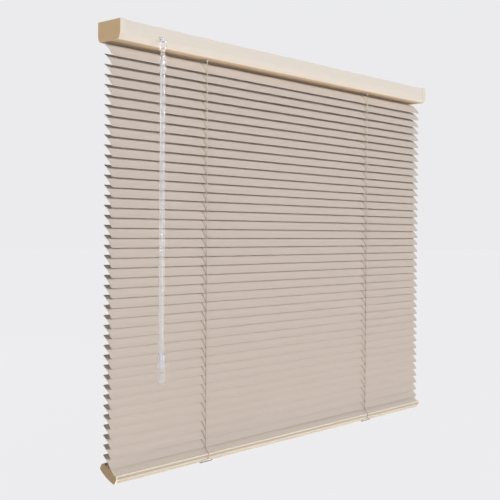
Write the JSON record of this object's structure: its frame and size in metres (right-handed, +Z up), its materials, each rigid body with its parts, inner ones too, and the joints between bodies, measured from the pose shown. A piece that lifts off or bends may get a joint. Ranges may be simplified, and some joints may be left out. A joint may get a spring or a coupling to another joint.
{
  "type": "mini blind",
  "caption": "Cordless horizontal mini blind: deep headrail, curved slats on cord ladders, bottom rail and a clear tilt wand that drives the slats through a worm gear.",
  "frame": {"origin": "centre of the headrail's back face, the face that lies against the wall", "axes": "+X along the slats to the right as seen from the room, +Y towards the wall, +Z up"},
  "size_m": [0.813, 0.0604, 0.6538],
  "materials": {
    "head_vinyl": "satin cream vinyl",
    "cap_plastic": "satin tan moulded plastic",
    "slat_vinyl": "satin beige vinyl",
    "rail_vinyl": "satin cream vinyl",
    "clear_plastic": "clear glossy plastic",
    "cord": "braided polyester cord",
    "moulded_white": "natural moulded plastic",
    "spring_case": "dark moulded case",
    "rod_steel": "zinc-plated drawn steel"
  },
  "bodies": {
    "headrail": {"headrail": "head_vinyl", "headrail_end_caps": "cap_plastic", "tilter_housing": "moulded_white", "drum_cradles": "moulded_white", "lift_spring_unit": "spring_case", "lift_cords": "cord"},
    "tilt_rod": {"tilt_rod": "rod_steel", "tilter_gear": "moulded_white", "ladder_drums": "moulded_white"},
    "tilter_worm": {"tilter_worm": "moulded_white"},
    "wand_hook": {"wand_hook": "clear_plastic"},
    "wand": {"wand": "clear_plastic", "wand_grip": "clear_plastic"},
    "bottom_rail": {"bottom_rail": "rail_vinyl", "bottom_rail_end_caps": "cap_plastic", "ladder_clips": "clear_plastic"},
    "ladder_front": {"ladder_front_cords": "cord"},
    "ladder_back": {"ladder_back_cords": "cord"},
    "slat_01": {"slat_01": "slat_vinyl"},
    "slat_02": {"slat_02": "slat_vinyl"},
    "slat_03": {"slat_03": "slat_vinyl"},
    "slat_04": {"slat_04": "slat_vinyl"},
    "slat_05": {"slat_05": "slat_vinyl"},
    "slat_06": {"slat_06": "slat_vinyl"},
    "slat_07": {"slat_07": "slat_vinyl"},
    "slat_08": {"slat_08": "slat_vinyl"},
    "slat_09": {"slat_09": "slat_vinyl"},
    "slat_10": {"slat_10": "slat_vinyl"},
    "slat_11": {"slat_11": "slat_vinyl"},
    "slat_12": {"slat_12": "slat_vinyl"},
    "slat_13": {"slat_13": "slat_vinyl"},
    "slat_14": {"slat_14": "slat_vinyl"},
    "slat_15": {"slat_15": "slat_vinyl"},
    "slat_16": {"slat_16": "slat_vinyl"},
    "slat_17": {"slat_17": "slat_vinyl"},
    "slat_18": {"slat_18": "slat_vinyl"},
    "slat_19": {"slat_19": "slat_vinyl"},
    "slat_20": {"slat_20": "slat_vinyl"},
    "slat_21": {"slat_21": "slat_vinyl"},
    "slat_22": {"slat_22": "slat_vinyl"},
    "slat_23": {"slat_23": "slat_vinyl"},
    "slat_24": {"slat_24": "slat_vinyl"},
    "slat_25": {"slat_25": "slat_vinyl"},
    "slat_26": {"slat_26": "slat_vinyl"},
    "slat_27": {"slat_27": "slat_vinyl"},
    "slat_28": {"slat_28": "slat_vinyl"},
    "slat_29": {"slat_29": "slat_vinyl"},
    "slat_30": {"slat_30": "slat_vinyl"},
    "slat_31": {"slat_31": "slat_vinyl"},
    "slat_32": {"slat_32": "slat_vinyl"},
    "slat_33": {"slat_33": "slat_vinyl"},
    "slat_34": {"slat_34": "slat_vinyl"},
    "slat_35": {"slat_35": "slat_vinyl"},
    "slat_36": {"slat_36": "slat_vinyl"},
    "slat_37": {"slat_37": "slat_vinyl"},
    "slat_38": {"slat_38": "slat_vinyl"},
    "slat_39": {"slat_39": "slat_vinyl"},
    "slat_40": {"slat_40": "slat_vinyl"},
    "slat_41": {"slat_41": "slat_vinyl"},
    "slat_42": {"slat_42": "slat_vinyl"}
  },
  "joints": [
    {"name": "rod_turn", "type": "hinge", "parent": "headrail", "child": "tilt_rod", "pos_m": [0, -0.0236, 0.0003], "axis": [1, 0, 0], "range_deg": [-105, 15]},
    {"name": "worm_turn", "type": "hinge", "parent": "headrail", "child": "tilter_worm", "pos_m": [-0.3295, -0.02746, 0.00787], "axis": [0, -0.891, -0.454], "range_deg": [-210.01, 1470.01]},
    {"name": "wand_swing", "type": "hinge", "parent": "headrail", "child": "wand_hook", "pos_m": [-0.3295, -0.0535, -0.00539], "axis": [-1, 0, 0], "range_deg": [0, 45]},
    {"name": "wand_turn", "type": "hinge", "parent": "wand_hook", "child": "wand", "pos_m": [-0.3295, -0.0535, -0.00539], "axis": [0, 0, 1], "range_deg": [-1470.01, 210.01]},
    {"name": "slat_01_tilt", "type": "hinge", "parent": "headrail", "child": "slat_01", "pos_m": [0, -0.0236, -0.0252], "axis": [1, 0, 0], "range_deg": [-105.01, 15.01]},
    {"name": "slat_02_tilt", "type": "hinge", "parent": "headrail", "child": "slat_02", "pos_m": [0, -0.0236, -0.0394], "axis": [1, 0, 0], "range_deg": [-105.01, 15.01]},
    {"name": "slat_03_tilt", "type": "hinge", "parent": "headrail", "child": "slat_03", "pos_m": [0, -0.0236, -0.0536], "axis": [1, 0, 0], "range_deg": [-105.01, 15.01]},
    {"name": "slat_04_tilt", "type": "hinge", "parent": "headrail", "child": "slat_04", "pos_m": [0, -0.0236, -0.0678], "axis": [1, 0, 0], "range_deg": [-105.01, 15.01]},
    {"name": "slat_05_tilt", "type": "hinge", "parent": "headrail", "child": "slat_05", "pos_m": [0, -0.0236, -0.082], "axis": [1, 0, 0], "range_deg": [-105.01, 15.01]},
    {"name": "slat_06_tilt", "type": "hinge", "parent": "headrail", "child": "slat_06", "pos_m": [0, -0.0236, -0.0962], "axis": [1, 0, 0], "range_deg": [-105.01, 15.01]},
    {"name": "slat_07_tilt", "type": "hinge", "parent": "headrail", "child": "slat_07", "pos_m": [0, -0.0236, -0.1104], "axis": [1, 0, 0], "range_deg": [-105.01, 15.01]},
    {"name": "slat_08_tilt", "type": "hinge", "parent": "headrail", "child": "slat_08", "pos_m": [0, -0.0236, -0.1246], "axis": [1, 0, 0], "range_deg": [-105.01, 15.01]},
    {"name": "slat_09_tilt", "type": "hinge", "parent": "headrail", "child": "slat_09", "pos_m": [0, -0.0236, -0.1388], "axis": [1, 0, 0], "range_deg": [-105.01, 15.01]},
    {"name": "slat_10_tilt", "type": "hinge", "parent": "headrail", "child": "slat_10", "pos_m": [0, -0.0236, -0.153], "axis": [1, 0, 0], "range_deg": [-105.01, 15.01]},
    {"name": "slat_11_tilt", "type": "hinge", "parent": "headrail", "child": "slat_11", "pos_m": [0, -0.0236, -0.1672], "axis": [1, 0, 0], "range_deg": [-105.01, 15.01]},
    {"name": "slat_12_tilt", "type": "hinge", "parent": "headrail", "child": "slat_12", "pos_m": [0, -0.0236, -0.1814], "axis": [1, 0, 0], "range_deg": [-105.01, 15.01]},
    {"name": "slat_13_tilt", "type": "hinge", "parent": "headrail", "child": "slat_13", "pos_m": [0, -0.0236, -0.1956], "axis": [1, 0, 0], "range_deg": [-105.01, 15.01]},
    {"name": "slat_14_tilt", "type": "hinge", "parent": "headrail", "child": "slat_14", "pos_m": [0, -0.0236, -0.2098], "axis": [1, 0, 0], "range_deg": [-105.01, 15.01]},
    {"name": "slat_15_tilt", "type": "hinge", "parent": "headrail", "child": "slat_15", "pos_m": [0, -0.0236, -0.224], "axis": [1, 0, 0], "range_deg": [-105.01, 15.01]},
    {"name": "slat_16_tilt", "type": "hinge", "parent": "headrail", "child": "slat_16", "pos_m": [0, -0.0236, -0.2382], "axis": [1, 0, 0], "range_deg": [-105.01, 15.01]},
    {"name": "slat_17_tilt", "type": "hinge", "parent": "headrail", "child": "slat_17", "pos_m": [0, -0.0236, -0.2524], "axis": [1, 0, 0], "range_deg": [-105.01, 15.01]},
    {"name": "slat_18_tilt", "type": "hinge", "parent": "headrail", "child": "slat_18", "pos_m": [0, -0.0236, -0.2666], "axis": [1, 0, 0], "range_deg": [-105.01, 15.01]},
    {"name": "slat_19_tilt", "type": "hinge", "parent": "headrail", "child": "slat_19", "pos_m": [0, -0.0236, -0.2808], "axis": [1, 0, 0], "range_deg": [-105.01, 15.01]},
    {"name": "slat_20_tilt", "type": "hinge", "parent": "headrail", "child": "slat_20", "pos_m": [0, -0.0236, -0.295], "axis": [1, 0, 0], "range_deg": [-105.01, 15.01]},
    {"name": "slat_21_tilt", "type": "hinge", "parent": "headrail", "child": "slat_21", "pos_m": [0, -0.0236, -0.3092], "axis": [1, 0, 0], "range_deg": [-105.01, 15.01]},
    {"name": "slat_22_tilt", "type": "hinge", "parent": "headrail", "child": "slat_22", "pos_m": [0, -0.0236, -0.3234], "axis": [1, 0, 0], "range_deg": [-105.01, 15.01]},
    {"name": "slat_23_tilt", "type": "hinge", "parent": "headrail", "child": "slat_23", "pos_m": [0, -0.0236, -0.3376], "axis": [1, 0, 0], "range_deg": [-105.01, 15.01]},
    {"name": "slat_24_tilt", "type": "hinge", "parent": "headrail", "child": "slat_24", "pos_m": [0, -0.0236, -0.3518], "axis": [1, 0, 0], "range_deg": [-105.01, 15.01]},
    {"name": "slat_25_tilt", "type": "hinge", "parent": "headrail", "child": "slat_25", "pos_m": [0, -0.0236, -0.366], "axis": [1, 0, 0], "range_deg": [-105.01, 15.01]},
    {"name": "slat_26_tilt", "type": "hinge", "parent": "headrail", "child": "slat_26", "pos_m": [0, -0.0236, -0.3802], "axis": [1, 0, 0], "range_deg": [-105.01, 15.01]},
    {"name": "slat_27_tilt", "type": "hinge", "parent": "headrail", "child": "slat_27", "pos_m": [0, -0.0236, -0.3944], "axis": [1, 0, 0], "range_deg": [-105.01, 15.01]},
    {"name": "slat_28_tilt", "type": "hinge", "parent": "headrail", "child": "slat_28", "pos_m": [0, -0.0236, -0.4086], "axis": [1, 0, 0], "range_deg": [-105.01, 15.01]},
    {"name": "slat_29_tilt", "type": "hinge", "parent": "headrail", "child": "slat_29", "pos_m": [0, -0.0236, -0.4228], "axis": [1, 0, 0], "range_deg": [-105.01, 15.01]},
    {"name": "slat_30_tilt", "type": "hinge", "parent": "headrail", "child": "slat_30", "pos_m": [0, -0.0236, -0.437], "axis": [1, 0, 0], "range_deg": [-105.01, 15.01]},
    {"name": "slat_31_tilt", "type": "hinge", "parent": "headrail", "child": "slat_31", "pos_m": [0, -0.0236, -0.4512], "axis": [1, 0, 0], "range_deg": [-105.01, 15.01]},
    {"name": "slat_32_tilt", "type": "hinge", "parent": "headrail", "child": "slat_32", "pos_m": [0, -0.0236, -0.4654], "axis": [1, 0, 0], "range_deg": [-105.01, 15.01]},
    {"name": "slat_33_tilt", "type": "hinge", "parent": "headrail", "child": "slat_33", "pos_m": [0, -0.0236, -0.4796], "axis": [1, 0, 0], "range_deg": [-105.01, 15.01]},
    {"name": "slat_34_tilt", "type": "hinge", "parent": "headrail", "child": "slat_34", "pos_m": [0, -0.0236, -0.4938], "axis": [1, 0, 0], "range_deg": [-105.01, 15.01]},
    {"name": "slat_35_tilt", "type": "hinge", "parent": "headrail", "child": "slat_35", "pos_m": [0, -0.0236, -0.508], "axis": [1, 0, 0], "range_deg": [-105.01, 15.01]},
    {"name": "slat_36_tilt", "type": "hinge", "parent": "headrail", "child": "slat_36", "pos_m": [0, -0.0236, -0.5222], "axis": [1, 0, 0], "range_deg": [-105.01, 15.01]},
    {"name": "slat_37_tilt", "type": "hinge", "parent": "headrail", "child": "slat_37", "pos_m": [0, -0.0236, -0.5364], "axis": [1, 0, 0], "range_deg": [-105.01, 15.01]},
    {"name": "slat_38_tilt", "type": "hinge", "parent": "headrail", "child": "slat_38", "pos_m": [0, -0.0236, -0.5506], "axis": [1, 0, 0], "range_deg": [-105.01, 15.01]},
    {"name": "slat_39_tilt", "type": "hinge", "parent": "headrail", "child": "slat_39", "pos_m": [0, -0.0236, -0.5648], "axis": [1, 0, 0], "range_deg": [-105.01, 15.01]},
    {"name": "slat_40_tilt", "type": "hinge", "parent": "headrail", "child": "slat_40", "pos_m": [0, -0.0236, -0.579], "axis": [1, 0, 0], "range_deg": [-105.01, 15.01]},
    {"name": "slat_41_tilt", "type": "hinge", "parent": "headrail", "child": "slat_41", "pos_m": [0, -0.0236, -0.5932], "axis": [1, 0, 0], "range_deg": [-105.01, 15.01]},
    {"name": "slat_42_tilt", "type": "hinge", "parent": "headrail", "child": "slat_42", "pos_m": [0, -0.0236, -0.6074], "axis": [1, 0, 0], "range_deg": [-105.01, 15.01]},
    {"name": "ladder_front_travel", "type": "hinge", "parent": "slat_01", "child": "ladder_front", "pos_m": [0, -0.03406, -0.03567], "axis": [1, 0, 0], "range_deg": [-15.01, 105.01]},
    {"name": "ladder_back_travel", "type": "hinge", "parent": "slat_01", "child": "ladder_back", "pos_m": [0, -0.01314, -0.01473], "axis": [1, 0, 0], "range_deg": [-15.01, 105.01]},
    {"name": "rail_tilt", "type": "hinge", "parent": "headrail", "child": "bottom_rail", "pos_m": [0, -0.0236, -0.6244], "axis": [1, 0, 0], "range_deg": [-67.68, 9.68]}
  ],
  "couplings": [
    {"joint": "worm_turn", "follows": "rod_turn", "ratio": -14},
    {"joint": "wand_turn", "follows": "rod_turn", "ratio": 14},
    {"joint": "slat_01_tilt", "follows": "rod_turn", "ratio": 1},
    {"joint": "slat_02_tilt", "follows": "rod_turn", "ratio": 1},
    {"joint": "slat_03_tilt", "follows": "rod_turn", "ratio": 1},
    {"joint": "slat_04_tilt", "follows": "rod_turn", "ratio": 1},
    {"joint": "slat_05_tilt", "follows": "rod_turn", "ratio": 1},
    {"joint": "slat_06_tilt", "follows": "rod_turn", "ratio": 1},
    {"joint": "slat_07_tilt", "follows": "rod_turn", "ratio": 1},
    {"joint": "slat_08_tilt", "follows": "rod_turn", "ratio": 1},
    {"joint": "slat_09_tilt", "follows": "rod_turn", "ratio": 1},
    {"joint": "slat_10_tilt", "follows": "rod_turn", "ratio": 1},
    {"joint": "slat_11_tilt", "follows": "rod_turn", "ratio": 1},
    {"joint": "slat_12_tilt", "follows": "rod_turn", "ratio": 1},
    {"joint": "slat_13_tilt", "follows": "rod_turn", "ratio": 1},
    {"joint": "slat_14_tilt", "follows": "rod_turn", "ratio": 1},
    {"joint": "slat_15_tilt", "follows": "rod_turn", "ratio": 1},
    {"joint": "slat_16_tilt", "follows": "rod_turn", "ratio": 1},
    {"joint": "slat_17_tilt", "follows": "rod_turn", "ratio": 1},
    {"joint": "slat_18_tilt", "follows": "rod_turn", "ratio": 1},
    {"joint": "slat_19_tilt", "follows": "rod_turn", "ratio": 1},
    {"joint": "slat_20_tilt", "follows": "rod_turn", "ratio": 1},
    {"joint": "slat_21_tilt", "follows": "rod_turn", "ratio": 1},
    {"joint": "slat_22_tilt", "follows": "rod_turn", "ratio": 1},
    {"joint": "slat_23_tilt", "follows": "rod_turn", "ratio": 1},
    {"joint": "slat_24_tilt", "follows": "rod_turn", "ratio": 1},
    {"joint": "slat_25_tilt", "follows": "rod_turn", "ratio": 1},
    {"joint": "slat_26_tilt", "follows": "rod_turn", "ratio": 1},
    {"joint": "slat_27_tilt", "follows": "rod_turn", "ratio": 1},
    {"joint": "slat_28_tilt", "follows": "rod_turn", "ratio": 1},
    {"joint": "slat_29_tilt", "follows": "rod_turn", "ratio": 1},
    {"joint": "slat_30_tilt", "follows": "rod_turn", "ratio": 1},
    {"joint": "slat_31_tilt", "follows": "rod_turn", "ratio": 1},
    {"joint": "slat_32_tilt", "follows": "rod_turn", "ratio": 1},
    {"joint": "slat_33_tilt", "follows": "rod_turn", "ratio": 1},
    {"joint": "slat_34_tilt", "follows": "rod_turn", "ratio": 1},
    {"joint": "slat_35_tilt", "follows": "rod_turn", "ratio": 1},
    {"joint": "slat_36_tilt", "follows": "rod_turn", "ratio": 1},
    {"joint": "slat_37_tilt", "follows": "rod_turn", "ratio": 1},
    {"joint": "slat_38_tilt", "follows": "rod_turn", "ratio": 1},
    {"joint": "slat_39_tilt", "follows": "rod_turn", "ratio": 1},
    {"joint": "slat_40_tilt", "follows": "rod_turn", "ratio": 1},
    {"joint": "slat_41_tilt", "follows": "rod_turn", "ratio": 1},
    {"joint": "slat_42_tilt", "follows": "rod_turn", "ratio": 1},
    {"joint": "ladder_front_travel", "follows": "rod_turn", "ratio": -1},
    {"joint": "ladder_back_travel", "follows": "rod_turn", "ratio": -1},
    {"joint": "rail_tilt", "follows": "rod_turn", "ratio": 0.64444}
  ]
}
